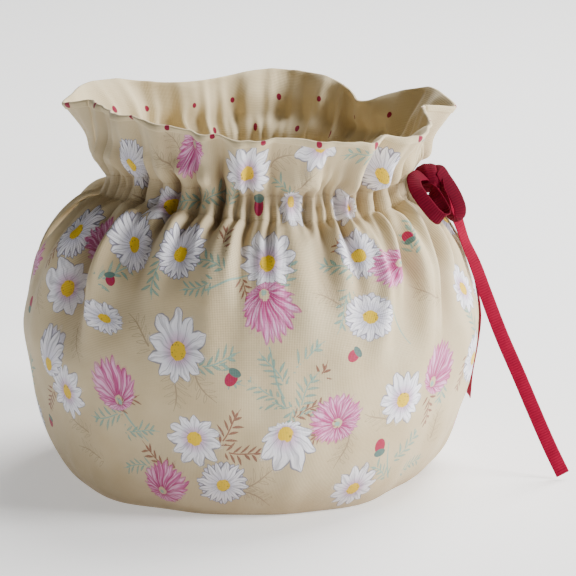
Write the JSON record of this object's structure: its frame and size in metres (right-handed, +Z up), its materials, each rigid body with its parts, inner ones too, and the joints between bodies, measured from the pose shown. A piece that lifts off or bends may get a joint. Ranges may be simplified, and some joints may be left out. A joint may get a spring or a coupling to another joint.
{
  "type": "tea cosy",
  "caption": "Gathered drawstring tea cosy of flower-printed cotton, with a dotted lining, a standing ruffle and a ribbon bow.",
  "frame": {"origin": "centre of the cloth's box on the plane that the hem rests on", "axes": "+Z up through the mouth, -Y towards the front panel, -X towards the spout gap, +X towards the handle gap and the bow"},
  "size_m": [0.273, 0.2189, 0.1917],
  "materials": {
    "printed_cotton": "matt printed cotton",
    "dotted_cotton": "matt dotted cotton",
    "grosgrain_ribbon": "ribbed, with a low sheen"
  },
  "bodies": {
    "root": {"front_panel": "printed_cotton", "back_panel": "printed_cotton", "front_lining": "dotted_cotton", "back_lining": "dotted_cotton", "ribbon_drawn": "grosgrain_ribbon", "ribbon_knot": "grosgrain_ribbon", "ribbon_loop_front": "grosgrain_ribbon", "ribbon_loop_back": "grosgrain_ribbon", "ribbon_tail_long": "grosgrain_ribbon", "ribbon_tail_short": "grosgrain_ribbon"}
  },
  "joints": []
}
